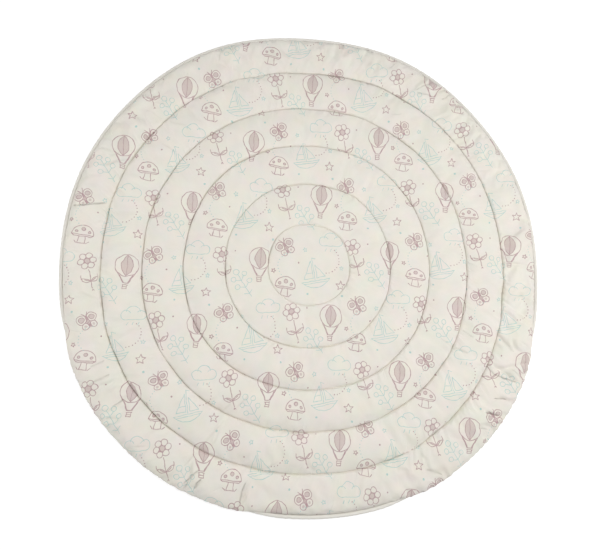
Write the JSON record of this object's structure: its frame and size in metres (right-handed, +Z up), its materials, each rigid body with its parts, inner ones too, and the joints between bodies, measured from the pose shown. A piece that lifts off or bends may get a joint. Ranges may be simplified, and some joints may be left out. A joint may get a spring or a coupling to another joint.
{
  "type": "baby play mat",
  "caption": "Round padded play mat, quilted in concentric stitched rings, with a light all-over print on cream cotton and a corded piping around its edge.",
  "frame": {"origin": "on the floor, under the middle of the mat's outline", "axes": "+Z up through the mat's thickness; +X to the right and +Y to the far side of the picture"},
  "size_m": [0.984, 0.994, 0.027],
  "materials": {
    "printed_cotton": "plain-weave cotton, matt, with a thin line print",
    "piping_cotton": "plain bias-cut cotton over a cord, matt"
  },
  "bodies": {
    "root": {"quilted_pad": "printed_cotton", "edge_piping": "piping_cotton"}
  },
  "joints": []
}
